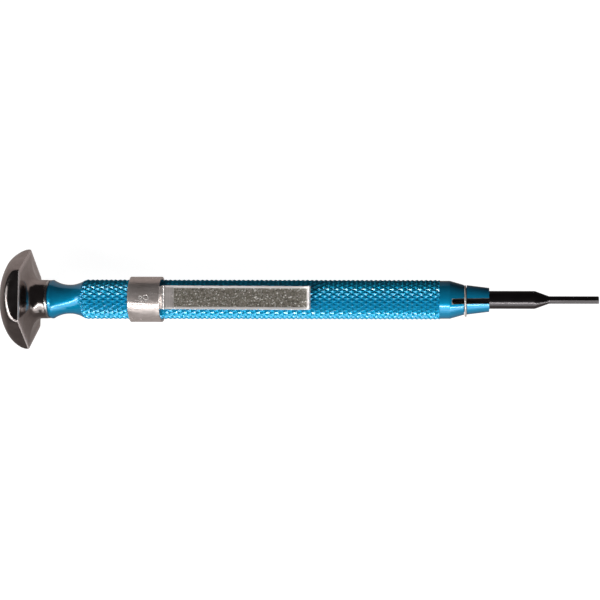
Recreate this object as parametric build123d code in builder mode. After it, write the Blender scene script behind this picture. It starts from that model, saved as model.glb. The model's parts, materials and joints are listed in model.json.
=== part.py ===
from build123d import *
import os
from math import acos, cos, degrees, radians, sin, tan

# Watchmaker's screwdriver: a hex key blade in a knurled barrel, with a pocket clip and a head
# that swivels under the forefinger.
#
# Millimetres. The tool's axis lies along X. The origin is the centre of the blade's end face,
# +X points out of the tip, and +Z is the side that carries the leaf of the clip.
# Round pieces are drawn as half a profile in the XZ plane, with length along X and radius along
# Z, and turned about the X axis. Whatever isn't round is then added or cut.

os.makedirs("parts", exist_ok=True)

# ---------------------------------------------------------------- driving dimensions

running = 0.04  # radial clearance of a piece that slides or turns on another

# Blade: a 1/8 in rod with a 0.050 in hexagonal key
shank_r = 3.175 / 2
key_across_flats = 1.27
key_length = 8.75
key_turn = 10.0  # degrees about X from a corner that faces +Z
taper_half_angle = 20.0
blade_length = 50.0
tail_slot_depth = 2.2

# Barrel, by places along X
nose_x = -19.5
groove_x = -23.74
cone_x = -26.5
knurl_front_x = -28.3
knurl_back_x = -91.35
waist_x = -94.1
tail_x = -96.95
barrel_end_x = -97.55
nose_r = 2.13
groove_front_r = 2.62
groove_back_r = 2.65
collar_r = 3.375
knurl_r = 3.54
waist_r = 2.57
tail_r = 3.41
slot_width = 1.0
slot_end_x = -26.1
slot_turn = 9.5  # degrees about X from the clip's side

# Spring ring
wire_r = 0.175
ring_outer_r = 2.83
ring_drop = 0.22  # the loose ring hangs this far off the axis, towards -Y
ring_tilt = 1.1
ring_gap = 16.0  # degrees of the open gap, on the side away from the clip
groove_width = 0.46
groove_r = 2.2

# Pocket clip
sheet = 0.45
band_back_x = -83.16
band_front_x = -77.65
band_seam = 0.4
leaf_width = 4.15
leaf_gap = 0.06  # parts the leaf from the band, where the sheet bends
leaf_tip_x = -51.0
leaf_lift = 1.15  # rise of the leaf over the band at the joggle
joggle_length = 1.6
leaf_curl = 0.62  # rise of the curled tip over the point that touches the barrel
leaf_corner_r = 0.35

# Swivelling head
washer_thickness = 0.4
washer_r = 3.4
head_front_x = -97.98
neck_r = 3.43
neck_length = 0.92
rim_x = -101.2
corner_r = 8.95  # to the six corners of the rim
rim_r = corner_r + 0.01  # of the turned blank, before the six flats are cut
dome_height = 4.9
flare_steps = 4

# Pivot inside the head
pin_root_r = 1.5
pin_root_length = 6.0
journal_r = 1.2
pin_end_x = -102.3
bush_r = 2.2
bush_length = 2.6
ring_thickness = 0.3
pivot_ring_x = -101.08
pivot_ring_r = 1.8
pin_groove_r = 0.95
ball_r = 0.5
ball_x = -102.35
pad_thickness = 0.5

# Worked out from the above
bore_r = shank_r + running
plug_length = 4.5
plug_face_x = -blade_length - 0.02
tang_thickness = 0.72
band_inner_r = knurl_r + running
band_outer_r = band_inner_r + sheet
ring_mean_r = ring_outer_r - wire_r
cup_r = ball_r + 0.03
pad_face_x = ball_x - ball_r
head_bore_depth = head_front_x - pad_face_x + pad_thickness
quarter_round = 0.5523  # reach of the control points of a Bezier curve that is a quarter ellipse
away_from_tip = Plane(origin=(barrel_end_x, 0, 0), x_dir=(0, 1, 0), z_dir=(-1, 0, 0))

# ---------------------------------------------------------------- blade

key_r = key_across_flats / 2
taper_x = -key_length - (shank_r - key_r) / tan(radians(taper_half_angle))

with BuildPart() as blade:
    with BuildSketch(Plane.XZ):
        with BuildLine():
            Polyline(
                (-key_length, 0),
                (-key_length, key_r),
                (taper_x, shank_r),
                (-blade_length, shank_r),
                (-blade_length, 0),
                close=True,
            )
        make_face()
    revolve(axis=Axis.X)
    shoulder = blade.edges().filter_by(GeomType.CIRCLE).filter_by_position(
        Axis.X, taper_x - 0.01, taper_x + 0.01
    )
    fillet(shoulder, radius=1.2)
    chamfer(blade.edges().filter_by(GeomType.CIRCLE).sort_by(Axis.X)[0], length=0.25)
    with BuildSketch(Plane.YZ.offset(taper_x)):
        RegularPolygon(radius=key_r, side_count=6, major_radius=False, rotation=30 + key_turn)
    extrude(amount=-taper_x)
    with BuildSketch(Plane.XY):
        with Locations((-blade_length, 0)):
            Rectangle(2 * tail_slot_depth, tang_thickness + 2 * running)
    extrude(amount=shank_r, both=True, mode=Mode.SUBTRACT)

blade.part.label = "blade"
export_step(blade.part, "parts/blade.step")

# ---------------------------------------------------------------- drive plug

with BuildPart() as drive_plug:
    with BuildSketch(Plane.YZ.offset(plug_face_x)):
        Circle(bore_r)
    extrude(amount=-plug_length)
    chamfer(drive_plug.edges().sort_by(Axis.X)[0], length=0.2)
    with BuildSketch(Plane.YZ.offset(plug_face_x)):
        Rectangle(tang_thickness, 2.3)
    extrude(amount=tail_slot_depth - 0.2)

drive_plug.part.label = "drive_plug"
export_step(drive_plug.part, "parts/drive_plug.step")

# ---------------------------------------------------------------- barrel

groove_front_x = groove_x + groove_width / 2
groove_back_x = groove_x - groove_width / 2

with BuildPart() as barrel:
    with BuildSketch(Plane.XZ):
        with BuildLine():
            nose = Polyline(
                (nose_x, 0),
                (nose_x, nose_r),
                (groove_front_x, groove_front_r),
                (groove_front_x, groove_r),
                (groove_back_x, groove_r),
                (groove_back_x, groove_back_r),
                (cone_x, collar_r),
                (knurl_front_x, collar_r),
                (knurl_front_x, knurl_r),
                (knurl_back_x, knurl_r),
            )
            waist = ThreePointArc(nose @ 1, (waist_x, waist_r), (tail_x, tail_r))
            Polyline(waist @ 1, (barrel_end_x, tail_r), (barrel_end_x, 0), nose @ 0)
        make_face()
    revolve(axis=Axis.X)
    ends = barrel.edges().filter_by(GeomType.CIRCLE).sort_by(Axis.X)
    chamfer(ends[0], length=0.25)
    chamfer(ends[-1], length=0.15)
    with Locations(Plane.YZ.offset(nose_x)):
        Hole(radius=bore_r, depth=nose_x - plug_face_x + plug_length)
    with Locations(away_from_tip):
        Hole(radius=pin_root_r, depth=pin_root_length)
    with BuildSketch(Plane.XY.rotated((slot_turn, 0, 0))):
        with Locations((nose_x, 0)):
            SlotOverall(2 * (nose_x - slot_end_x), slot_width)
    extrude(amount=knurl_r, both=True, mode=Mode.SUBTRACT)

barrel.part.label = "barrel"
export_step(barrel.part, "parts/barrel.step")

# ---------------------------------------------------------------- spring ring

ring_plane = Plane(
    origin=(groove_x, -ring_drop, 0),
    x_dir=(0, 0, 1),
    z_dir=(cos(radians(ring_tilt)), sin(radians(ring_tilt)), 0),
)

with BuildPart() as spring_ring:
    with BuildLine(ring_plane) as wire:
        CenterArc((0, 0), ring_mean_r, 180 + ring_gap / 2, 360 - ring_gap)
    with BuildSketch(Plane(origin=wire.line @ 0, z_dir=wire.line % 0)):
        Circle(wire_r)
    sweep()

spring_ring.part.label = "spring_ring"
export_step(spring_ring.part, "parts/spring_ring.step")

# ---------------------------------------------------------------- pocket clip

with BuildPart() as clip_band:
    with BuildSketch(Plane.YZ.offset(band_back_x)):
        Circle(band_outer_r)
        Circle(band_inner_r, mode=Mode.SUBTRACT)
        with Locations((0, -band_outer_r)):
            Rectangle(band_seam, 2 * band_outer_r - 2 * knurl_r, mode=Mode.SUBTRACT)
    extrude(amount=band_front_x - band_back_x)

clip_band.part.label = "clip_band"
export_step(clip_band.part, "parts/clip_band.step")

# The leaf is a strip of the same sheet: it leaves the band's front edge, steps up, runs down to
# touch the barrel, and curls away again at its tip.
leaf_root_x = band_front_x + leaf_gap
touch_x = leaf_tip_x - 1.9
step_x = leaf_root_x + joggle_length
root_z = band_inner_r

with BuildPart() as clip_leaf:
    with BuildSketch(Plane.XZ):
        with BuildLine() as underside:
            Polyline(
                (leaf_root_x, root_z),
                (leaf_root_x + 0.35, root_z),
                (step_x, root_z + leaf_lift),
                (touch_x, knurl_r + 0.02),
                (leaf_tip_x, knurl_r + 0.02 + leaf_curl),
            )
            corners = underside.vertices().sort_by(Axis.X)[1:-1]
            fillet(corners[0:2], radius=0.4)
            fillet(underside.vertices().sort_by(Axis.X)[-2], radius=1.6)
            offset(amount=sheet, side=Side.LEFT)
        make_face()
    extrude(amount=leaf_width / 2, both=True)
    tip_edges = clip_leaf.edges().filter_by(Axis.Z, tolerance=25).group_by(Axis.X)[-1]
    fillet(tip_edges, radius=leaf_corner_r)

clip_leaf.part.label = "clip_leaf"
export_step(clip_leaf.part, "parts/clip_leaf.step")

# ---------------------------------------------------------------- neck washer

with BuildPart() as neck_washer:
    with BuildSketch(away_from_tip):
        Circle(washer_r)
        Circle(journal_r + running, mode=Mode.SUBTRACT)
    extrude(amount=washer_thickness)

neck_washer.part.label = "neck_washer"
export_step(neck_washer.part, "parts/neck_washer.step")

# ---------------------------------------------------------------- swivelling head

# The dome is a half ellipsoid cut by six flats, down to a flat hexagonal rim. Under the rim the
# hexagon shrinks along a hollow flare, a parabola that leaves the rim square to the axis and runs
# out along the round neck.
flare_x = head_front_x - neck_length
flare_depth = flare_x - rim_x

with BuildPart() as swivel_head:
    with BuildSketch(Plane.XZ):
        with BuildLine():
            dome = Bezier(
                (rim_x, rim_r),
                (rim_x - quarter_round * dome_height, rim_r),
                (rim_x - dome_height, quarter_round * rim_r),
                (rim_x - dome_height, 0),
            )
            Polyline(dome @ 1, (rim_x, 0), dome @ 0)
        make_face()
    revolve(axis=Axis.X)
    with BuildSketch(Plane.YZ.offset(barrel_end_x)):
        RegularPolygon(radius=corner_r, side_count=6)
    extrude(amount=-3 * dome_height, mode=Mode.INTERSECT)
    for flare_step in range(flare_steps + 1):
        share = flare_step / flare_steps
        with BuildSketch(Plane.YZ.offset(rim_x + flare_depth * share**2)):
            corner = neck_r + (corner_r - neck_r) * (1 - share) ** 2
            RegularPolygon(radius=corner, side_count=6)
    loft()
    with BuildSketch(Plane.YZ.offset(head_front_x)):
        Circle(neck_r)
    extrude(amount=rim_x - head_front_x)
    with Locations(Plane.YZ.offset(head_front_x)):
        Hole(radius=bush_r, depth=head_bore_depth)

swivel_head.part.label = "swivel_head"
export_step(swivel_head.part, "parts/swivel_head.step")

# ---------------------------------------------------------------- pivot of the head

with BuildPart() as pivot_pin:
    with BuildSketch(Plane.XZ):
        with BuildLine():
            cup = CenterArc((ball_x, 0), cup_r, 0, degrees(acos((pin_end_x - ball_x) / cup_r)))
            Polyline(
                cup @ 1,
                (pin_end_x, journal_r),
                (pivot_ring_x - ring_thickness, journal_r),
                (pivot_ring_x - ring_thickness, pin_groove_r),
                (pivot_ring_x, pin_groove_r),
                (pivot_ring_x, journal_r),
                (barrel_end_x, journal_r),
                (barrel_end_x, pin_root_r),
                (barrel_end_x + pin_root_length, pin_root_r),
                (barrel_end_x + pin_root_length, 0),
                cup @ 0,
            )
        make_face()
    revolve(axis=Axis.X)

pivot_pin.part.label = "pivot_pin"
export_step(pivot_pin.part, "parts/pivot_pin.step")

with BuildPart() as pivot_snap_ring:
    with BuildSketch(Plane.YZ.offset(pivot_ring_x)):
        Circle(pivot_ring_r)
        Circle(pin_groove_r, mode=Mode.SUBTRACT)
        with Locations((0, -pivot_ring_r)):
            Rectangle(1.2, 2 * pivot_ring_r, mode=Mode.SUBTRACT)
    extrude(amount=-ring_thickness)

pivot_snap_ring.part.label = "pivot_snap_ring"
export_step(pivot_snap_ring.part, "parts/pivot_snap_ring.step")

with BuildPart() as head_bush:
    with BuildSketch(Plane.YZ.offset(head_front_x - 0.05)):
        Circle(bush_r)
        Circle(journal_r + running, mode=Mode.SUBTRACT)
    extrude(amount=-bush_length)

head_bush.part.label = "head_bush"
export_step(head_bush.part, "parts/head_bush.step")

with BuildPart() as thrust_ball:
    with Locations((ball_x, 0, 0)):
        Sphere(ball_r)

thrust_ball.part.label = "thrust_ball"
export_step(thrust_ball.part, "parts/thrust_ball.step")

with BuildPart() as thrust_pad:
    with BuildSketch(Plane.YZ.offset(pad_face_x)):
        Circle(bush_r)
    extrude(amount=-pad_thickness)

thrust_pad.part.label = "thrust_pad"
export_step(thrust_pad.part, "parts/thrust_pad.step")
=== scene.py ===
import json
from math import atan2, cos, exp, pi, radians, sin, sqrt, tan

import bmesh
import bpy
from mathutils import Matrix, Vector


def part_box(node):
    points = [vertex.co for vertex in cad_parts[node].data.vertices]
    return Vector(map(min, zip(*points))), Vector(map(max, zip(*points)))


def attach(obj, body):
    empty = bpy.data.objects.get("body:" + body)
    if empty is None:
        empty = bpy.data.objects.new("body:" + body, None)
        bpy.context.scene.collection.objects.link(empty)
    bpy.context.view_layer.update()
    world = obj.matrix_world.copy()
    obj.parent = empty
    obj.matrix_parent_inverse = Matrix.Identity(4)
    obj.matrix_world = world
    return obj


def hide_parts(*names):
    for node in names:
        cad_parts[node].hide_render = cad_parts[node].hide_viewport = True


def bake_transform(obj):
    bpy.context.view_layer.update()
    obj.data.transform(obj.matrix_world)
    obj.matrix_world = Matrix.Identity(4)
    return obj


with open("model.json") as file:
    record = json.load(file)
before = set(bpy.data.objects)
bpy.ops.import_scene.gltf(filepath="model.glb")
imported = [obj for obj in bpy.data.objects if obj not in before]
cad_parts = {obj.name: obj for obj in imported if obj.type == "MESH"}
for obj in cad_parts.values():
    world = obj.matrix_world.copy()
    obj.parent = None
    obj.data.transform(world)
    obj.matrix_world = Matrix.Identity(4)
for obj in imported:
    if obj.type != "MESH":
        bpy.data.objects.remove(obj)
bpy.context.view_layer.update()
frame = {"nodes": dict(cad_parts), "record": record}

# A watchmaker's screwdriver. The tool's axis is X, the tip is at the origin and points along +X,
# and the clip's leaf is on the +Z side. Lengths below are in millimetres, and to_metres() takes
# each finished mesh to the frame's metres.

MM = 0.001


def node_span(node):
    """A CAD node's box as (lowest x, highest x, largest reach from the axis in y or z), in mm."""
    low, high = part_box(node)
    reach = max(high.y, -low.y, high.z, -low.z)
    return low.x / MM, high.x / MM, reach / MM


def mount(name):
    return next(m for m in frame["record"]["mounts"] if m["name"] == name)


# ------------------------------------------------------------------ places, from the frame

barrel_end_x, nose_x, knurl_r = node_span("barrel")
blade_tail_x, blade_tip_x, shank_r = node_span("blade")
head_top_x, head_front_x, corner_r = node_span("swivel_head")
band_back_x, band_front_x, _ = node_span("clip_band")
band_outer_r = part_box("clip_band")[1].z / MM
_, leaf_tip_x, leaf_top_z = node_span("clip_leaf")
leaf_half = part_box("clip_leaf")[1].y / MM
washer_low_x, washer_high_x, washer_r = node_span("neck_washer")
plug_low_x, _, bore_r = node_span("drive_plug")
_, pin_root_x, pin_r = node_span("pivot_pin")
_, _, bush_r = node_span("head_bush")
pad_low_x, _, _ = node_span("thrust_pad")
ring_low, ring_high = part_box("spring_ring")
collar_r = mount("stand_collar")["dims"]["r_mm"]
collar_mid_x = mount("stand_collar")["pos_m"][0] / MM
collar_length = mount("stand_collar")["dims"]["length_mm"]
knurl_front_x = collar_mid_x - collar_length / 2
cone_x = collar_mid_x + collar_length / 2

# ------------------------------------------------------------------ driving dimensions, mm

NOSE_R = 2.13
GROOVE_X = -23.74
GROOVE_WIDTH = 0.46
GROOVE_R = 2.2
GROOVE_FRONT_R = 2.62
GROOVE_BACK_R = 2.65
SLOT_WIDTH = 1.0
SLOT_END_X = -26.1
SLOT_TURN = radians(9.5)

DIAMONDS_AROUND = 24
DIAMOND_LENGTH = 1.624
KNURL_DEPTH = 0.36
KNURL_ROUNDING = 1.06  # 1 gives flat-sided pyramids
SUB = 3  # divisions of half a diamond
AROUND = DIAMONDS_AROUND * 2 * SUB

WAIST_X = -94.1
WAIST_R = 2.57
WAIST_ARC_R = 5.1
TAIL_X = -96.95
TAIL_R = 3.41

KEY_FLAT_R = 1.27 / 2
KEY_LENGTH = 8.75
KEY_TURN = radians(10.0)
TAPER = radians(20.0)

RIM_X = -101.2
RIM_R = corner_r + 0.01
NECK_R = 3.43
FLARE_X = head_front_x - 0.92

SHEET = 0.45
SEAM = 0.4
JOGGLE_START_X = -77.6
JOGGLE_END_X = -76.4
PANEL_START_X = -74.8
TOUCH_X = leaf_tip_x - 1.9
BENDS = (-77.85, -77.35, -76.6)  # places where the sheet is creased and a highlight is painted across it
CREASES = (-75.95, -75.5, -74.95)
STAMPS = ((-80.85, -0.05, 0.27), (-79.9, -0.08, 0.42))  # rings: place along X and Y, and radius


# ------------------------------------------------------------------ mesh helpers

def smooth_step(low, high, value):
    t = min(1.0, max(0.0, (value - low) / (high - low)))
    return t * t * (3 - 2 * t)


def soften(outline, radius, steps=3, closed=False):
    """The outline's points with every corner rounded by a short curve of about this radius."""
    count = len(outline)
    result = []
    for i, corner in enumerate(outline):
        if not closed and i in (0, count - 1):
            result.append(tuple(corner))
            continue
        here = Vector(corner)
        before = Vector(outline[i - 1]) - here
        after = Vector(outline[(i + 1) % count]) - here
        turn = before.angle(after)
        if turn > radians(179):
            result.append(tuple(corner))
            continue
        cut = min(radius / max(tan(turn / 2), 0.2), before.length * 0.45, after.length * 0.45)
        start = here + before.normalized() * cut
        end = here + after.normalized() * cut
        for k in range(steps + 1):
            t = k / steps
            point = start * (1 - t) ** 2 + here * (2 * t * (1 - t)) + end * t * t
            result.append(tuple(point))
    return result


def to_metres(points):
    return [Vector(p) * MM for p in points]


def make_piece(name, points, faces, material, sharp_angle=radians(32)):
    """A mesh object from points in mm, with its normals turned outwards and soft shading
    except over edges sharper than sharp_angle."""
    mesh = bpy.data.meshes.new(name)
    mesh.from_pydata(to_metres(points), [], faces)
    bm = bmesh.new()
    bm.from_mesh(mesh)
    bmesh.ops.remove_doubles(bm, verts=bm.verts, dist=1e-7)
    bmesh.ops.recalc_face_normals(bm, faces=bm.faces)
    bm.to_mesh(mesh)
    bm.free()
    mesh.shade_smooth()
    mesh.set_sharp_from_angle(angle=sharp_angle)
    obj = bpy.data.objects.new(name, mesh)
    bpy.context.scene.collection.objects.link(obj)
    mesh.materials.append(material)
    return obj


def ring_points(x, radius_at, around=AROUND):
    """One ring round the axis at x; radius_at(angle) is its radius, with angle 0 at +Y."""
    points = []
    for j in range(around):
        angle = 2 * pi * j / around
        radius = radius_at(angle)
        points.append((x, radius * cos(angle), radius * sin(angle)))
    return points


def tube_faces(first, second, around, flip_cut=None):
    """Faces between two rings whose first points have these numbers. flip_cut(j) says which way
    each four-sided face is cut in two; without it the faces stay four-sided."""
    faces = []
    for j in range(around):
        k = (j + 1) % around
        a, b, c, d = first + j, first + k, second + k, second + j
        if flip_cut is None:
            faces.append((a, b, c, d))
        elif flip_cut(j):
            faces.extend([(a, b, d), (b, c, d)])
        else:
            faces.extend([(a, b, c), (a, c, d)])
    return faces


def lathe(name, outline, material, around=96, closed=False, sharp_angle=radians(32)):
    """A turned piece: outline is (x, radius) points; an open outline ends on the axis."""
    points, faces, starts = [], [], []
    for x, radius in outline:
        starts.append(len(points))
        if radius < 1e-6:
            points.append((x, 0, 0))
        else:
            points.extend(ring_points(x, lambda angle, r=radius: r, around))
    pairs = list(zip(range(len(outline) - 1), range(1, len(outline))))
    if closed:
        pairs.append((len(outline) - 1, 0))
    for a, b in pairs:
        a_pole, b_pole = outline[a][1] < 1e-6, outline[b][1] < 1e-6
        for j in range(around):
            k = (j + 1) % around
            if a_pole:
                faces.append((starts[a], starts[b] + k, starts[b] + j))
            elif b_pole:
                faces.append((starts[a] + j, starts[a] + k, starts[b]))
            else:
                faces.append((starts[a] + j, starts[a] + k, starts[b] + k, starts[b] + j))
    return make_piece(name, points, faces, material, sharp_angle)


def cut_with(obj, points, faces):
    """Cuts a closed shape, given in mm, out of obj."""
    mesh = bpy.data.meshes.new("cutter")
    mesh.from_pydata(to_metres(points), [], faces)
    bm = bmesh.new()
    bm.from_mesh(mesh)
    bmesh.ops.recalc_face_normals(bm, faces=bm.faces)
    bm.to_mesh(mesh)
    bm.free()
    cutter = bpy.data.objects.new("cutter", mesh)
    bpy.context.scene.collection.objects.link(cutter)
    modifier = obj.modifiers.new("cut", "BOOLEAN")
    modifier.operation = "DIFFERENCE"
    modifier.solver = "EXACT"
    modifier.object = cutter
    apply_modifiers(obj)
    bpy.data.objects.remove(cutter)


def apply_modifiers(obj):
    graph = bpy.context.evaluated_depsgraph_get()
    finished = bpy.data.meshes.new_from_object(obj.evaluated_get(graph), depsgraph=graph)
    obj.modifiers.clear()
    obj.data = finished


def prism(outline, half_height, turn=0.0):
    """Points and faces of an upright prism through the axis: outline is (x, y) points, and the
    prism runs from -half_height to half_height along Z, turned about X."""
    turned = Matrix.Rotation(turn, 3, "X")
    count = len(outline)
    points = [turned @ Vector((x, y, z)) for z in (-half_height, half_height) for x, y in outline]
    faces = [tuple(range(count)), tuple(range(2 * count - 1, count - 1, -1))]
    for i in range(count):
        k = (i + 1) % count
        faces.append((i, k, count + k, count + i))
    return points, faces


# ------------------------------------------------------------------ material helpers

class Shader:
    """A Principled material with short calls for its nodes."""

    def __init__(self, name):
        self.material = bpy.data.materials.new(name)
        self.material.use_nodes = True
        self.tree = self.material.node_tree
        self.principled = self.tree.nodes["Principled BSDF"]
        self.place = self.add("ShaderNodeTexCoord").outputs["Object"]

    def add(self, kind, **values):
        node = self.tree.nodes.new(kind)
        for key, value in values.items():
            setattr(node, key, value)
        return node

    def link(self, source, target):
        self.tree.links.new(source, target)

    def put(self, target, value):
        """Sets an input from a number, a colour or another node's output."""
        if isinstance(value, bpy.types.NodeSocket):
            self.link(value, target)
        else:
            target.default_value = value

    def stretched(self, x, y, z):
        """The object's own place, in millimetres, stretched along each axis."""
        node = self.add("ShaderNodeMapping")
        self.link(self.place, node.inputs["Vector"])
        node.inputs["Scale"].default_value = (x / MM, y / MM, z / MM)
        return node.outputs["Vector"]

    def noise(self, vector, scale, detail=4.0, roughness=0.55, distortion=0.0):
        node = self.add("ShaderNodeTexNoise")
        self.link(vector, node.inputs["Vector"])
        node.inputs["Scale"].default_value = scale
        node.inputs["Detail"].default_value = detail
        node.inputs["Roughness"].default_value = roughness
        node.inputs["Distortion"].default_value = distortion
        return node.outputs["Fac"]

    def ranged(self, value, low, high, out_low, out_high, soft=False):
        node = self.add("ShaderNodeMapRange")
        if soft:
            node.interpolation_type = "SMOOTHSTEP"
        self.put(node.inputs["Value"], value)
        for key, number in (
            ("From Min", low), ("From Max", high), ("To Min", out_low), ("To Max", out_high),
        ):
            node.inputs[key].default_value = number
        return node.outputs["Result"]

    def math(self, operation, first, second=0.0):
        node = self.add("ShaderNodeMath", operation=operation)
        self.put(node.inputs[0], first)
        self.put(node.inputs[1], second)
        return node.outputs["Value"]

    def mix(self, factor, first, second):
        node = self.add("ShaderNodeMix", data_type="RGBA")
        self.put(node.inputs["Factor"], factor)
        self.put(node.inputs["A"], first)
        self.put(node.inputs["B"], second)
        return node.outputs["Result"]

    def mix_number(self, factor, first, second):
        node = self.add("ShaderNodeMix", data_type="FLOAT")
        self.put(node.inputs["Factor"], factor)
        self.put(node.inputs["A"], first)
        self.put(node.inputs["B"], second)
        return node.outputs["Result"]

    def axes(self):
        node = self.add("ShaderNodeSeparateXYZ")
        self.link(self.place, node.inputs["Vector"])
        return node.outputs["X"], node.outputs["Y"], node.outputs["Z"]

    def radius(self):
        """Distance from the tool's axis, in metres."""
        _, y, z = self.axes()
        return self.math("SQRT", self.math("ADD", self.math("POWER", y, 2.0), self.math("POWER", z, 2.0)))

    def attribute(self, name):
        return self.add("ShaderNodeAttribute", attribute_name=name).outputs["Fac"]

    def bump(self, height, distance, strength=1.0, under=None):
        node = self.add("ShaderNodeBump")
        node.inputs["Distance"].default_value = distance
        node.inputs["Strength"].default_value = strength
        self.put(node.inputs["Height"], height)
        if under is not None:
            self.link(under, node.inputs["Normal"])
        return node.outputs["Normal"]

    def finish(self, colour, roughness, metallic=1.0, normal=None, **more):
        inputs = self.principled.inputs
        self.put(inputs["Base Color"], colour)
        self.put(inputs["Roughness"], roughness)
        self.put(inputs["Metallic"], metallic)
        if normal is not None:
            self.link(normal, inputs["Normal"])
        for key, value in more.items():
            self.put(inputs[key.replace("_", " ")], value)
        return self.material


def turned_marks(shader, scale, distance, strength=0.4):
    """Fine rings left by the lathe, as bump."""
    marks = shader.noise(shader.stretched(1.0, 0.02, 0.02), scale, detail=3.0)
    return shader.bump(marks, distance, strength)


def blue_anodised():
    """Dyed anodised aluminium: a satin metal seen through a clear layer. Painted shade darkens it where it
    is seen edge on.
    The knurl is painted paler all over as a painted sheen, and paler still on its crests where wear has
    thinned the dye. The slot's walls have a bare-metal colour painted pale as a highlight."""
    s = Shader("blue_anodised")
    x, _, _ = s.axes()
    smooth_front = s.ranged(x, (knurl_front_x - 0.1) * MM, knurl_front_x * MM, 0.0, 1.0)
    smooth_back = s.ranged(x, (WAIST_X + 3.2) * MM, (WAIST_X + 2.8) * MM, 0.0, 1.0)
    polished = s.math("MAXIMUM", smooth_front, smooth_back)
    blotches = s.noise(s.stretched(1, 1, 1), 0.35, detail=3.0)
    grain = s.noise(s.stretched(1, 1, 1), 6.0, detail=5.0)
    tint = s.mix(s.ranged(blotches, 0.3, 0.7, 0.0, 1.0), (0.0, 0.33, 0.62, 1), (0.004, 0.385, 0.70, 1))
    # Painted sheen and wear: the whole knurl is mixed towards a paler blue to stand in for the glints of
    # its diamonds, and more so on its crests, where the anodise is wearing off.
    crest = s.ranged(s.radius(), (knurl_r - 0.1) * MM, knurl_r * MM, 0.0, 1.0, soft=True)
    knurl_wear_and_sheen = s.math("ADD", 0.36, s.math("MULTIPLY", crest, s.ranged(grain, 0.45, 0.75, 0.1, 0.6)))
    knurl_wear_and_sheen = s.math("MULTIPLY", knurl_wear_and_sheen, s.ranged(polished, 0.0, 1.0, 1.0, 0.0))
    tint = s.mix(knurl_wear_and_sheen, tint, (0.03, 0.60, 0.88, 1))
    # Painted shade: the colour is darkened almost to black where the surface is seen edge on, a little less
    # on the knurl.
    weight = s.add("ShaderNodeLayerWeight")
    weight.inputs["Blend"].default_value = 0.5
    painted_edge_shade = s.math("POWER", weight.outputs["Facing"], 2.5)
    painted_edge_shade = s.math("MULTIPLY", painted_edge_shade, s.ranged(polished, 0.0, 1.0, 0.75, 1.0))
    tint = s.mix(painted_edge_shade, tint, (0.008, 0.03, 0.05, 1))
    # The slot's walls and end are given a pale bare-metal colour with no clear layer; their paleness is a
    # painted highlight along them.
    _, y, z = s.axes()
    off_middle = s.math(
        "ADD", s.math("MULTIPLY", y, cos(SLOT_TURN)), s.math("MULTIPLY", z, sin(SLOT_TURN))
    )
    slot_bare_and_highlight = s.ranged(s.math("ABSOLUTE", off_middle), 0.505 * MM, 0.512 * MM, 1.0, 0.0)
    slot_bare_and_highlight = s.math("MULTIPLY", slot_bare_and_highlight, s.ranged(x, (SLOT_END_X - 0.02) * MM, SLOT_END_X * MM, 0.0, 1.0))
    tint = s.mix(slot_bare_and_highlight, tint, (0.55, 0.50, 0.43, 1))
    satin = s.ranged(grain, 0.3, 0.7, 0.34, 0.42)
    bright = s.ranged(grain, 0.3, 0.7, 0.30, 0.36)
    rings = s.noise(s.stretched(1.0, 0.02, 0.02), 9.0, detail=3.0)
    normal = s.bump(rings, 0.004 * MM, 0.35)
    normal = s.bump(grain, 0.003 * MM, 0.3, under=normal)
    return s.finish(
        tint, s.mix_number(polished, satin, bright), 0.45, normal,
        Coat_Weight=s.ranged(slot_bare_and_highlight, 0.0, 1.0, 0.8, 0.0), Coat_Roughness=0.08, Coat_IOR=1.8,
        Specular_IOR_Level=0.0,
    )


def dark_nickel():
    s = Shader("dark_nickel")
    clouds = s.noise(s.stretched(1, 1, 1), 0.5, detail=4.0)
    grain = s.noise(s.stretched(1, 1, 1), 8.0, detail=4.0)
    scratches = s.noise(s.stretched(2.0, 0.25, 2.0), 2.5, detail=6.0, roughness=0.7, distortion=0.6)
    tint = s.mix(s.ranged(clouds, 0.3, 0.7, 0.0, 1.0), (0.30, 0.265, 0.255, 1), (0.42, 0.38, 0.37, 1))
    scuff = s.ranged(scratches, 0.56, 0.72, 0.0, 1.0)
    roughness = s.math("ADD", s.ranged(clouds, 0.3, 0.7, 0.10, 0.16), s.math("MULTIPLY", scuff, 0.06))
    worn_edges = s.add("ShaderNodeBevel", samples=6)
    worn_edges.inputs["Radius"].default_value = 0.5 * MM
    normal = s.bump(clouds, 0.03 * MM, 0.35, under=worn_edges.outputs["Normal"])
    normal = s.bump(scratches, 0.003 * MM, 0.25, under=normal)
    normal = s.bump(grain, 0.001 * MM, 0.2, under=normal)
    # Painted highlight: a pale, barely metallic line is painted round the rim's edge, broken up by the
    # grain.
    x, _, _ = s.axes()
    off_rim = s.math("ABSOLUTE", s.math("SUBTRACT", x, (RIM_X - 0.07) * MM))
    on_rim = s.ranged(off_rim, 0.06 * MM, 0.10 * MM, 1.0, 0.0)
    painted_edge_highlight = s.math("MULTIPLY", on_rim, s.ranged(grain, 0.3, 0.6, 0.6, 1.0))
    tint = s.mix(painted_edge_highlight, tint, (0.95, 0.86, 0.84, 1))
    return s.finish(tint, roughness, s.mix_number(painted_edge_highlight, 1.0, 0.2), normal)


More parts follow.
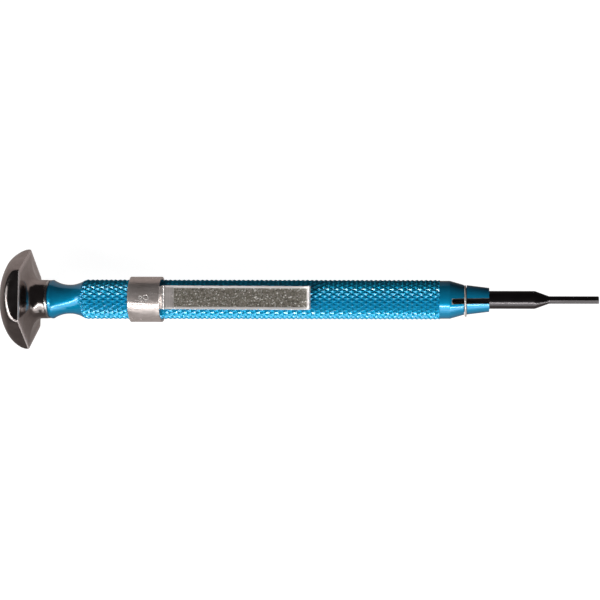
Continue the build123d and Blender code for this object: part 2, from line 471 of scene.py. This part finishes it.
def black_oxide():
    s = Shader("black_oxide")
    clouds = s.noise(s.stretched(0.5, 1, 1), 0.9, detail=4.0)
    ground = s.noise(s.stretched(2.0, 0.04, 0.04), 8.0, detail=4.0)
    speck = s.noise(s.stretched(1, 1, 1), 9.0, detail=3.0)
    radius = s.radius()
    x, _, _ = s.axes()
    tint = s.mix(s.ranged(clouds, 0.3, 0.7, 0.0, 1.0), (0.001, 0.001, 0.001, 1), (0.004, 0.003, 0.003, 1))
    near_tip = s.ranged(x, -1.2 * MM, 0.0, 0.0, 1.0, soft=True)
    edge = s.ranged(radius, KEY_FLAT_R * 1.115 * MM, KEY_FLAT_R * 1.135 * MM, 0.0, 1.0)
    on_key = s.ranged(x, -KEY_LENGTH * MM, -KEY_LENGTH * 0.9 * MM, 0.0, 1.0)
    rub = s.math("MULTIPLY", s.math("MULTIPLY", edge, on_key), s.ranged(speck, 0.4, 0.7, 0.0, 0.4))
    rub = s.math("MAXIMUM", rub, s.math("MULTIPLY", near_tip, s.ranged(speck, 0.5, 0.75, 0.0, 0.3)))
    tint = s.mix(rub, tint, (0.34, 0.31, 0.30, 1))
    roughness = s.ranged(clouds, 0.3, 0.7, 0.19, 0.23)
    normal = s.bump(ground, 0.003 * MM, 0.2)
    normal = s.bump(speck, 0.0015 * MM, 0.2, under=normal)
    return s.finish(tint, roughness, rub, normal, IOR=1.95, Specular_Tint=(1.0, 0.93, 0.95, 1.0))


def bright_nickel():
    """Nickel-plated sheet: a soft-shining band and a leaf whose sunk panel is rough, with painted shade in
    its pebbles' dents and painted glints on its raised specks.
    Painted highlights whiten the sheet's bends, creases, side rims and end, over a painted sheen on the
    joggle and the strip before the panel."""
    s = Shader("bright_nickel")
    panel = s.attribute("panel")
    edge = s.attribute("edge")
    clouds = s.noise(s.stretched(1, 1, 1), 0.7, detail=4.0)
    rolled = s.noise(s.stretched(0.22, 1.3, 1.3), 1.1, detail=3.0, distortion=0.8)
    pebbles = s.noise(s.stretched(1, 1, 1), 2.6, detail=5.0, roughness=0.75)
    speck = s.noise(s.stretched(1, 1, 1), 3.6, detail=2.0, roughness=0.5, distortion=0.5)
    plain = s.mix(s.ranged(clouds, 0.3, 0.7, 0.0, 1.0), (0.58, 0.51, 0.48, 1), (0.72, 0.65, 0.62, 1))
    # Painted shade and glints: the panel is painted dark in the pebbles' dents and white on the specks that
    # stand raised.
    dull = s.mix(s.ranged(pebbles, 0.36, 0.64, 0.0, 1.0), (0.09, 0.078, 0.058, 1), (0.38, 0.35, 0.30, 1))
    dull = s.mix(s.ranged(speck, 0.61, 0.68, 0.0, 1.0), dull, (1.0, 0.98, 0.93, 1))
    tint = s.mix(panel, plain, dull)
    # Painted highlight: the sheet is whitened and made less metallic where its edge attribute is set, on
    # bends, creases, side rims and end, with a painted sheen over the joggle.
    tint = s.mix(edge, tint, (1.0, 0.96, 0.94, 1))
    x, y, z = s.axes()
    stamped = None
    for centre_x, centre_y, stamp_r in STAMPS:
        across_x = s.math("SUBTRACT", x, centre_x * MM)
        across_y = s.math("SUBTRACT", y, centre_y * MM)
        away = s.math("SQRT", s.math("ADD", s.math("POWER", across_x, 2.0), s.math("POWER", across_y, 2.0)))
        off_line = s.math("ABSOLUTE", s.math("SUBTRACT", away, stamp_r * MM))
        ring = s.ranged(off_line, 0.06 * MM, 0.14 * MM, 1.0, 0.0, soft=True)
        stamped = ring if stamped is None else s.math("MAXIMUM", stamped, ring)
    stamped = s.math("MULTIPLY", stamped, s.ranged(z, 0.0, 0.5 * MM, 0.0, 1.0))
    tint = s.mix(s.math("MULTIPLY", stamped, 0.8), tint, (0.97, 0.93, 0.9, 1))
    roughness = s.mix_number(
        panel, s.ranged(clouds, 0.3, 0.7, 0.20, 0.28), s.ranged(pebbles, 0.3, 0.7, 0.30, 0.42)
    )
    normal = s.bump(rolled, 0.09 * MM, 0.7)
    normal = s.bump(s.ranged(stamped, 0.0, 1.0, 1.0, 0.0), 0.08 * MM, 0.8, under=normal)
    texture = s.math("MULTIPLY", s.math("ADD", pebbles, speck), panel)
    normal = s.bump(texture, 0.06 * MM, 0.6, under=normal)
    metal = s.mix_number(edge, s.mix_number(panel, 0.62, 0.25), 0.2)
    bent = s.ranged(x, JOGGLE_END_X * MM, (JOGGLE_END_X + 0.3) * MM, 1.0, 0.0)
    burnished = s.math("MULTIPLY", bent, s.ranged(edge, 0.2, 0.5, 0.0, 1.0))
    return s.finish(
        tint, s.mix_number(burnished, roughness, 0.17), s.mix_number(burnished, metal, 0.75), normal
    )


def plain_metal(name, colour, roughness, ring_scale=9.0, metallic=1.0):
    """A turned or ground metal: uneven tint, turning marks and small dents."""
    s = Shader(name)
    clouds = s.noise(s.stretched(1, 1, 1), 1.2, detail=4.0)
    speck = s.noise(s.stretched(1, 1, 1), 9.0, detail=4.0)
    darker = tuple(0.75 * c for c in colour) + (1,)
    tint = s.mix(s.ranged(clouds, 0.3, 0.7, 0.0, 1.0), darker, tuple(colour) + (1,))
    marks = turned_marks(s, ring_scale, 0.004 * MM)
    normal = s.bump(speck, 0.003 * MM, 0.3, under=marks)
    return s.finish(tint, s.ranged(speck, 0.3, 0.7, roughness * 0.85, roughness * 1.2), metallic, normal)


# ------------------------------------------------------------------ barrel

def waist_radius(x):
    """The hollow of the waist, carried on past its ends."""
    inside = WAIST_ARC_R ** 2 - (x - WAIST_X) ** 2
    return WAIST_R + WAIST_ARC_R - sqrt(inside) if inside > 0 else 99.0


def knurl_level(x, angle):
    """Radius of the diamond knurl: pyramids with barely rounded sides, in rows half a diamond apart."""
    along = (knurl_front_x - x) / (DIAMOND_LENGTH / 2)
    across = angle / (pi / DIAMONDS_AROUND)
    p, q = along % 1.0, across % 1.0
    even = (int(along // 1) + int(across // 1)) % 2 == 0
    slope = abs(1 - (p + q)) if even else abs(p - q)
    return knurl_r - KNURL_DEPTH * (1 - slope) ** KNURL_ROUNDING


def barrel_mesh(material):
    groove_front = GROOVE_X + GROOVE_WIDTH / 2
    groove_back = GROOVE_X - GROOVE_WIDTH / 2
    nose = soften(
        [
            (nose_x - 1.0, bore_r), (nose_x, bore_r), (nose_x, NOSE_R),
            (groove_front, GROOVE_FRONT_R), (groove_front, GROOVE_R),
            (groove_back, GROOVE_R), (groove_back, GROOVE_BACK_R),
            (cone_x, collar_r), (knurl_front_x, collar_r),
        ],
        0.07,
    )
    rings = [(plug_low_x, None)]
    rings += [(x, lambda angle, r=radius: r) for x, radius in [(plug_low_x, bore_r)] + nose]
    step = DIAMOND_LENGTH / 2 / SUB
    knurl_back = WAIST_X + 3.35
    count = int((knurl_front_x - knurl_back) / step)
    knurl_rings = [knurl_front_x - 0.03] + [knurl_front_x - i * step for i in range(1, count + 1)]
    first_knurl = len(rings)
    rings += [(x, lambda angle, at=x: knurl_level(at, angle)) for x in knurl_rings]
    x = knurl_rings[-1]
    while x > WAIST_X + 2.78:
        x -= 0.045
        rings.append((x, lambda angle, at=x: min(knurl_level(at, angle), waist_radius(at))))
    waist_steps = 26
    waist_from = x
    for i in range(1, waist_steps + 1):
        x = waist_from + (TAIL_X - waist_from) * i / waist_steps
        rings.append((x, lambda angle, at=x: waist_radius(at)))
    tail = soften(
        [
            (TAIL_X, TAIL_R), (barrel_end_x + 0.22, TAIL_R), (barrel_end_x, TAIL_R - 0.22),
            (barrel_end_x, pin_r), (pin_root_x, pin_r),
        ],
        0.1,
    )
    rings += [(x, lambda angle, r=radius: r) for x, radius in tail[1:]]
    rings.append((pin_root_x, None))

    points, faces, starts = [], [], []
    for x, radius_at in rings:
        starts.append(len(points))
        points += [(x, 0, 0)] if radius_at is None else ring_points(x, radius_at)
    last = len(rings) - 1
    for i in range(last):
        if i == 0:
            faces += [(starts[0], starts[1] + j, starts[1] + (j + 1) % AROUND) for j in range(AROUND)]
        elif i == last - 1:
            faces += [(starts[i] + j, starts[last], starts[i] + (j + 1) % AROUND) for j in range(AROUND)]
        elif first_knurl <= i < first_knurl + len(knurl_rings) - 1:
            row = (i - first_knurl) // SUB
            faces += tube_faces(starts[i], starts[i + 1], AROUND, lambda j: (row + j // SUB) % 2 == 0)
        else:
            faces += tube_faces(starts[i], starts[i + 1], AROUND)
    barrel = make_piece("knurled_barrel", points, faces, material, radians(28))

    half = SLOT_WIDTH / 2
    centre_x = SLOT_END_X + half
    arc = [
        (centre_x + half * cos(a), half * sin(a))
        for a in (pi / 2 + pi * k / 12 for k in range(13))
    ]
    cut_with(barrel, *prism(arc + [(nose_x + 1, -half), (nose_x + 1, half)], knurl_r + 0.5, SLOT_TURN))
    barrel.data.shade_smooth()
    barrel.data.set_sharp_from_angle(angle=radians(28))
    return barrel


# ------------------------------------------------------------------ blade

def blade_mesh(material):
    around = 96

    def hexagon(angle):
        """Radius of the key, its corners just broken."""
        from_flat = (angle - KEY_TURN + pi / 6) % (pi / 3) - pi / 6
        return min(KEY_FLAT_R / cos(from_flat), KEY_FLAT_R * 1.135)

    taper_start = -KEY_LENGTH - (shank_r - KEY_FLAT_R) / tan(TAPER)
    shank = soften(
        [
            (blade_tail_x, shank_r - 0.2), (blade_tail_x + 0.25, shank_r),
            (taper_start, shank_r), (-KEY_LENGTH, KEY_FLAT_R),
        ],
        1.0,
        steps=8,
    )
    rings = [(blade_tail_x, 0.0)] + [(x, r) for x, r in shank[:-1]]
    run_out = 14
    last_x, last_r = shank[-2]
    for i in range(1, run_out + 1):
        t = i / run_out
        rings.append((last_x + (-KEY_LENGTH - last_x) * t, last_r + (KEY_FLAT_R - last_r) * t))
    points, faces, starts = [], [], []

    def key_ring(x, r, scale=1.0):
        return ring_points(x, lambda a: max(r, hexagon(a) * scale), around)

    for x, r in rings:
        starts.append(len(points))
        if r == 0.0:
            points.append((x, 0, 0))
        elif x < taper_start:
            points.extend(ring_points(x, lambda a, r=r: r, around))
        else:
            points.extend(key_ring(x, r))
    for x, scale in ((-6.0, 1.0), (-3.0, 1.0), (-0.06, 1.0), (0.0, 0.93)):
        starts.append(len(points))
        points.extend(key_ring(x, 0.0, scale))
    starts.append(len(points))
    points.append((blade_tip_x, 0, 0))
    last = len(starts) - 1
    for i in range(last):
        if i == 0:
            faces += [(starts[0], starts[1] + j, starts[1] + (j + 1) % around) for j in range(around)]
        elif i == last - 1:
            faces += [(starts[i] + j, starts[last], starts[i] + (j + 1) % around) for j in range(around)]
        else:
            faces += tube_faces(starts[i], starts[i + 1], around)
    blade = make_piece("hex_key_blade", points, faces, material)
    half = 0.4
    depth = 2.2
    tail_slot = [
        (blade_tail_x - 1, -half), (blade_tail_x + depth, -half),
        (blade_tail_x + depth, half), (blade_tail_x - 1, half),
    ]
    cut_with(blade, *prism(tail_slot, 3.0))
    blade.data.shade_smooth()
    blade.data.set_sharp_from_angle(angle=radians(25))
    return blade


# ------------------------------------------------------------------ swivelling head

def head_mesh(material):
    """A dome cut by six flats down to a flat hexagonal rim, a hollow flare under it, the neck
    and the blind bore, all on one grid of rays round the axis."""
    flat_r = corner_r * cos(pi / 6)
    round_r = 0.5  # of the six upright edges
    round_centre = corner_r - round_r / cos(pi / 6)
    round_half = pi / 6 - atan2(round_centre * sin(pi / 6), flat_r)
    dome_height = RIM_X - head_top_x
    dome_steps, flare_steps = 20, 16
    from_corner = [radians(turn) for turn in (4, 7, 11, 15, 20, 25, 30)]
    from_corner = [round_half * k / 3 for k in range(4)] + from_corner
    one_side = from_corner + [pi / 3 - turn for turn in reversed(from_corner[1:-1])]
    angles = [pi / 3 * side + turn for side in range(6) for turn in one_side]
    around = len(angles)

    def dome_x(radius):
        return RIM_X - dome_height * sqrt(max(0.0, 1 - (radius / RIM_R) ** 2))

    def edge_radius(angle):
        """Reach of the rounded hexagon along this ray."""
        off_corner = abs((angle + pi / 6) % (pi / 3) - pi / 6)
        if off_corner < round_half:
            across = round_centre * sin(off_corner)
            return round_centre * cos(off_corner) + sqrt(round_r ** 2 - across ** 2)
        return flat_r / cos(pi / 6 - off_corner)

    def outline(angle):
        """(x, radius) points along this ray, from beside the apex to the bottom of the bore."""
        edge_r = edge_radius(angle)
        edge_x = dome_x(edge_r)
        height = RIM_X - edge_x
        soft = min(0.7, 0.35 * height)
        inner_r = edge_r - soft
        points = []
        for i in range(1, dome_steps + 1):
            radius = inner_r * sin(pi / 2 * i / dome_steps)
            points.append((dome_x(radius), radius))
        start, end = points[-1], (edge_x + soft, edge_r)
        for k in (1, 2, 3):
            t = k / 4
            points.append(
                tuple(
                    (1 - t) ** 2 * a + 2 * t * (1 - t) * b + t * t * c
                    for a, b, c in zip(start, (edge_x, edge_r), end)
                )
            )
        rim = 0.16
        for t in (0.0, 0.4, 0.8, 1.0):
            points.append((end[0] + (RIM_X - rim - end[0]) * t, edge_r))
        points += [(RIM_X - 0.047, edge_r - 0.047), (RIM_X, edge_r - rim)]
        for i in range(1, flare_steps + 1):
            t = 0.04 + 0.96 * i / flare_steps
            points.append((RIM_X + (FLARE_X - RIM_X) * t * t, NECK_R + (edge_r - NECK_R) * (1 - t) ** 2))
        neck = [(FLARE_X, NECK_R), (head_front_x, NECK_R), (head_front_x, bush_r), (pad_low_x, bush_r)]
        return points + soften(neck, 0.06)[1:]

    rays = [outline(angle) for angle in angles]
    depth = len(rays[0])
    points = [(head_top_x, 0, 0)]
    for i in range(depth):
        for angle, ray in zip(angles, rays):
            x, radius = ray[i]
            points.append((x, radius * cos(angle), radius * sin(angle)))
    points.append((pad_low_x, 0, 0))
    faces = [(0, 1 + j, 1 + (j + 1) % around) for j in range(around)]
    for i in range(depth - 1):
        faces += tube_faces(1 + i * around, 1 + (i + 1) * around, around)
    foot = 1 + (depth - 1) * around
    faces += [(foot + j, len(points) - 1, foot + (j + 1) % around) for j in range(around)]
    return make_piece("swivel_head_cap", points, faces, material, radians(44))


# ------------------------------------------------------------------ pocket clip

def clip_mesh(material):
    """Band and leaf in one bent sheet. The middle of the sheet is laid out first, then it is
    given its thickness and its edges are rounded."""
    mid_r = band_outer_r - SHEET / 2
    leaf_angle = leaf_half / mid_r
    top_cells, side_cells = 24, 52
    seam_angle = SEAM / 2 / mid_r
    inset, rim_end, panel_from = 0.12, 0.26, 0.42
    across = [-leaf_half, -leaf_half + inset, -leaf_half + rim_end, -leaf_half + panel_from]
    inner = top_cells - 6
    inner_half = leaf_half - panel_from
    across += [-inner_half + 2 * inner_half * k / inner for k in range(1, inner)]
    across += [-v for v in reversed(across[:4])]
    top_angles = [w / mid_r for w in across]
    side = [leaf_angle + (pi - seam_angle - leaf_angle) * k / side_cells for k in range(1, side_cells + 1)]
    angles = [-a for a in reversed(side)] + top_angles + side
    band_rows = [band_back_x + (band_front_x - band_back_x) * k / 6 for k in range(7)]

    points, faces, panel, edge = [], [], [], []
    for x in band_rows:
        for angle in angles:
            points.append((x, -mid_r * sin(angle), mid_r * cos(angle)))
            panel.append(0.0)
            edge.append(0.0)
    width = len(angles)
    for row in range(len(band_rows) - 1):
        for j in range(width - 1):
            a = row * width + j
            faces.append((a, a + 1, a + width + 1, a + width))

    top_z = leaf_top_z - SHEET / 2
    touch_z = knurl_r + 0.03 + SHEET / 2
    curl_z = touch_z + 0.60
    slope = (touch_z - top_z) / (TOUCH_X - JOGGLE_END_X)

    def height(x):
        """Height of the middle of the sheet along the leaf."""
        if x < JOGGLE_END_X:
            return mid_r + (top_z - mid_r) * smooth_step(JOGGLE_START_X, JOGGLE_END_X, x)
        line = top_z + slope * (x - JOGGLE_END_X)
        curl_from = TOUCH_X - 1.0
        if x > curl_from:
            t = (x - curl_from) / (leaf_tip_x - curl_from)
            line += (curl_z - touch_z + 0.12) * t ** 2.2
        return line

    def crease_shine(x):
        """How strongly a painted highlight whitens the sheet across its bends and, more faintly, the
        creases beside them, over a painted sheen on the joggle and, fainter, the strip before the panel.
        """
        if x > PANEL_START_X:
            return 0.0
        bend = max(exp(-((x - place) / 0.14) ** 2) for place in BENDS)
        crease = max(exp(-((x - place) / 0.10) ** 2) for place in CREASES)
        shine = max(bend, 0.45 * crease)
        return max(shine, 0.5 if x < JOGGLE_END_X else 0.28)

    steps = []
    x = band_front_x
    while x < leaf_tip_x - 0.02:
        step = 0.07 if x < PANEL_START_X + 0.1 else (0.12 if x > TOUCH_X - 1.4 else 0.45)
        x = min(x + step, leaf_tip_x)
        steps.append(x)
    first = (len(band_rows) - 1) * width + side_cells
    columns = len(across)
    previous = [first + k for k in range(columns)]
    for x in steps:
        flat = smooth_step(band_front_x, JOGGLE_END_X, x)
        current = []
        for w in across:
            curved_y, curved_z = mid_r * sin(w / mid_r), mid_r * cos(w / mid_r) - mid_r
            y = (1 - flat) * curved_y + flat * w
            z = height(x) + (1 - flat) * curved_z
            in_length = smooth_step(PANEL_START_X - 0.25, PANEL_START_X, x)
            in_length *= 1 - smooth_step(leaf_tip_x - 0.48, leaf_tip_x - 0.32, x)
            in_width = 1 - smooth_step(leaf_half - panel_from, leaf_half - rim_end, abs(w))
            sunk = in_length * in_width
            current.append(len(points))
            points.append((x, -y, z - 0.09 * sunk))
            panel.append(sunk)
            # Painted highlight along the leaf's side rims from the joggle on, and across its end.
            at_end = 0.8 * smooth_step(leaf_tip_x - 0.48, leaf_tip_x - 0.32, x)
            painted_edge_highlight = max((1 - in_width) * smooth_step(JOGGLE_START_X, JOGGLE_END_X, x), at_end)
            edge.append(max(painted_edge_highlight, crease_shine(x)))
        for k in range(columns - 1):
            faces.append((previous[k], previous[k + 1], current[k + 1], current[k]))
        previous = current
    clip = make_piece("pocket_clip_sheet", points, faces, material, radians(35))
    for name, values in (("panel", panel), ("edge", edge)):
        attribute = clip.data.attributes.new(name, "FLOAT", "POINT")
        attribute.data.foreach_set("value", values)
    thick = clip.modifiers.new("sheet", "SOLIDIFY")
    thick.thickness = SHEET * MM
    thick.offset = 0.0
    thick.use_even_offset = True
    bevel = clip.modifiers.new("edges", "BEVEL")
    bevel.width = 0.09 * MM
    bevel.segments = 3
    bevel.limit_method = "ANGLE"
    bevel.angle_limit = radians(50)
    apply_modifiers(clip)
    clip.data.shade_smooth()
    clip.data.set_sharp_from_angle(angle=radians(40))
    return clip


# ------------------------------------------------------------------ spring ring

def ring_mesh(material):
    """The wire ring, with a short gap between its rounded ends."""
    centre = Vector((GROOVE_X, (ring_low.y + ring_high.y) / 2 / MM, 0))
    outer = (ring_high.y - ring_low.y) / 2 / MM
    wire_r = 0.175
    mean = outer - wire_r
    tilt = radians(1.1)
    gap = radians(16)
    side = Vector((-sin(tilt), cos(tilt), 0))
    up = Vector((0, 0, 1))
    forward = Vector((cos(tilt), sin(tilt), 0))
    along, about = 96, 16
    points, faces = [], []
    for i in range(along + 1):
        angle = gap / 2 + (2 * pi - gap) * i / along
        outward = side * sin(angle) - up * cos(angle)
        end = min(i, along - i)
        r = wire_r * (0.75 if end == 0 else 1.0)
        for k in range(about):
            turn = 2 * pi * k / about
            points.append(centre + outward * (mean + r * cos(turn)) + forward * (r * sin(turn)))
    for i in range(along):
        faces += tube_faces(i * about, (i + 1) * about, about)
    faces.append(tuple(range(about)))
    faces.append(tuple(range(along * about, (along + 1) * about)))
    return make_piece("wire_ring", points, faces, material)


# ------------------------------------------------------------------ build

blue = blue_anodised()
nickel = dark_nickel()
oxide = black_oxide()
sheet_nickel = bright_nickel()
wire = plain_metal("spring_wire", (0.92, 0.86, 0.80), 0.26, 3.0, metallic=0.35)
steel = plain_metal("hard_steel", (0.62, 0.61, 0.60), 0.24)
bronze = plain_metal("bronze", (0.62, 0.40, 0.19), 0.32)


def add(obj, body, slot, *nodes):
    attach(obj, body)
    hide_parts(*nodes)


add(barrel_mesh(blue), "handle", "blue_anodised", "barrel")
add(blade_mesh(oxide), "blade", "black_oxide", "blade")
add(head_mesh(nickel), "head", "dark_nickel", "swivel_head")
add(ring_mesh(wire), "spring_ring", "spring_wire", "spring_ring")

washer = lathe(
    "neck_seal_washer",
    soften(
        [
            (washer_low_x, 1.24), (washer_high_x, 1.24),
            (washer_high_x, washer_r), (washer_low_x, washer_r),
        ],
        0.05,
        closed=True,
    ),
    steel,
    closed=True,
)
add(washer, "handle", "hard_steel", "neck_washer")

clip = clip_mesh(sheet_nickel)
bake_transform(clip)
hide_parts("clip_band", "clip_leaf")

for node in ("drive_plug", "pivot_pin", "pivot_snap_ring", "thrust_ball", "thrust_pad"):
    frame["nodes"][node].data.materials.clear()
    frame["nodes"][node].data.materials.append(steel)
frame["nodes"]["head_bush"].data.materials.clear()
frame["nodes"]["head_bush"].data.materials.append(bronze)

# ------------------------------------------------------------------ camera, light and floor

# The camera looks across the tool from the clip's side, a little round towards -Y. It stands
# opposite a point near the nose, with its lens shifted sideways to take in the whole tool.
ROLL = radians(4.2)
TILT = 0.0017  # of the tool in the picture, its tip a little low
LOW = 0.03
CAMERA_X = -24.7
DISTANCE = 294.0
MM_ACROSS = 106.8
MIDDLE_X = -53.17

toward_camera = Vector((0, -sin(ROLL), cos(ROLL)))
up = Vector((0, cos(ROLL), sin(ROLL)))

camera_data = bpy.data.cameras.new("camera")
camera = bpy.data.objects.new("camera", camera_data)
bpy.context.scene.collection.objects.link(camera)
camera.location = (Vector((CAMERA_X, 0, 0)) + toward_camera * DISTANCE - up * LOW) * MM
camera.rotation_mode = "QUATERNION"
right = Vector((cos(TILT), 0, 0)) + up * sin(TILT)
camera.rotation_quaternion = (
    Matrix((right, toward_camera.cross(right), toward_camera)).transposed().to_quaternion()
)
camera_data.sensor_width = 36.0
camera_data.lens = 36.0 * DISTANCE / MM_ACROSS
camera_data.clip_start = 0.01
camera_data.clip_end = 20.0
bpy.context.scene.camera = camera

# The shift belongs to this one view: it falls to nothing when the camera is moved for another.
driver = camera_data.driver_add("shift_x").driver
driver.type = "SCRIPTED"
place = driver.variables.new()
place.name = "x"
place.targets[0].id = camera
place.targets[0].data_path = "location.x"
shift = (MIDDLE_X - CAMERA_X) / MM_ACROSS
driver.expression = f"{shift:.6f} if abs(x - {CAMERA_X * MM:.6f}) < 0.00001 else 0.0"


def softbox(name, toward, distance, size_x, size_y, radiance, along):
    """A rectangular lamp of the given radiance, facing the middle of the tool, with its length
    lying as nearly as it can in the direction of along."""
    data = bpy.data.lights.new(name, "AREA")
    data.shape = "RECTANGLE"
    data.size = size_x
    data.size_y = size_y
    data.energy = radiance * size_x * size_y * pi
    lamp = bpy.data.objects.new(name, data)
    bpy.context.scene.collection.objects.link(lamp)
    z_axis = toward.normalized()
    x_axis = (along - z_axis * along.dot(z_axis)).normalized()
    lamp.location = Vector((MIDDLE_X * MM, 0, 0)) + z_axis * distance
    lamp.rotation_mode = "QUATERNION"
    lamp.rotation_quaternion = Matrix((x_axis, z_axis.cross(x_axis), z_axis)).transposed().to_quaternion()
    lamp.visible_camera = False
    return lamp


def at(below, along=0.0):
    """A direction this many degrees below the camera, seen from the tool, and this many along +X."""
    a, b = radians(below), radians(along)
    direction = toward_camera * cos(a) - up * sin(a)
    return direction * cos(b) + Vector((1, 0, 0)) * sin(b)


# A long slanting softbox below the camera with a hot line along its upper edge, a small lamp off
# the head's end, and a dim panel low down towards the tip.
slant = at(62, 34) - at(-14, -65)
softbox("line", at(34, -12), 0.58, 1.85, 0.036, 15.0, along=slant)
softbox("key", at(46, -12), 0.6, 1.85, 0.40, 1.5, along=slant)
softbox("side", at(4, -60), 0.62, 0.26, 0.32, 1.5, along=Vector((1, 0, 0)))
softbox("fill", at(79, 30), 0.62, 1.1, 0.30, 0.85, along=Vector((1, 0, 0)))


def floor():
    """A plain pale floor just under the head's corners. The camera sees it evenly white; to all other rays
    it is a glowing sheet painted brighter and warmer beyond the tool towards the head's end and dimmer in
    front of it, so it shines less on the tool than it looks."""
    half = 3.0
    level = -(corner_r + 0.1) * MM
    middle = MIDDLE_X * MM
    mesh = bpy.data.meshes.new("floor")
    mesh.from_pydata(
        [
            (middle - half, -half, level), (middle + half, -half, level),
            (middle + half, half, level), (middle - half, half, level),
        ],
        [],
        [(0, 1, 2, 3)],
    )
    obj = bpy.data.objects.new("floor", mesh)
    bpy.context.scene.collection.objects.link(obj)
    s = Shader("floor")
    grain = s.noise(s.stretched(1, 1, 1), 0.05, detail=3.0)
    s.finish(s.mix(grain, (0.20, 0.20, 0.20, 1), (0.22, 0.22, 0.22, 1)), 0.7, 0.0, Specular_IOR_Level=0.0)
    lift = s.add("ShaderNodeEmission")
    lift.inputs["Strength"].default_value = 0.95
    seen = s.add("ShaderNodeAddShader")
    s.link(s.principled.outputs[0], seen.inputs[0])
    s.link(lift.outputs[0], seen.inputs[1])
    # Painted light: for every ray but the camera's the floor shines as a glowing sheet, not a lamp. Its
    # strength is painted by place: up to 0.48 beyond the tool, fading near the tip, and 0.15 to 0.28 in
    # front.
    x, y, _ = s.axes()
    far_side = s.math(
        "MULTIPLY",
        s.ranged(x, -0.15, -0.09, 0.36, 0.48, soft=True),
        s.ranged(x, -0.06, -0.012, 1.0, 0.08, soft=True),
    )
    near_side = s.ranged(x, -0.10, -0.03, 0.15, 0.28, soft=True)
    painted_floor_glow = s.add("ShaderNodeEmission")
    painted_floor_glow.inputs["Color"].default_value = (1.0, 0.88, 0.84, 1)
    s.link(s.mix_number(s.ranged(y, -0.02, 0.02, 0.0, 1.0), near_side, far_side), painted_floor_glow.inputs["Strength"])
    path = s.add("ShaderNodeLightPath")
    either = s.add("ShaderNodeMixShader")
    s.link(path.outputs["Is Camera Ray"], either.inputs[0])
    s.link(painted_floor_glow.outputs[0], either.inputs[1])
    s.link(seen.outputs[0], either.inputs[2])
    s.link(either.outputs[0], s.tree.nodes["Material Output"].inputs["Surface"])
    mesh.materials.append(s.material)


floor()


def studio_world():
    """A grey room, dark over the tool's far side and pale where the camera sees it."""
    world = bpy.data.worlds.new("studio")
    bpy.context.scene.world = world
    world.use_nodes = True
    tree = world.node_tree
    background = tree.nodes["Background"]
    path = tree.nodes.new("ShaderNodeLightPath")
    choose = tree.nodes.new("ShaderNodeMix")
    choose.data_type = "RGBA"
    choose.inputs["A"].default_value = (0.026, 0.024, 0.025, 1)
    choose.inputs["B"].default_value = (0.93, 0.93, 0.93, 1)
    tree.links.new(path.outputs["Is Camera Ray"], choose.inputs["Factor"])
    tree.links.new(choose.outputs["Result"], background.inputs["Color"])
    background.inputs["Strength"].default_value = 1.0


studio_world()
bpy.context.scene.view_settings.view_transform = "Standard"
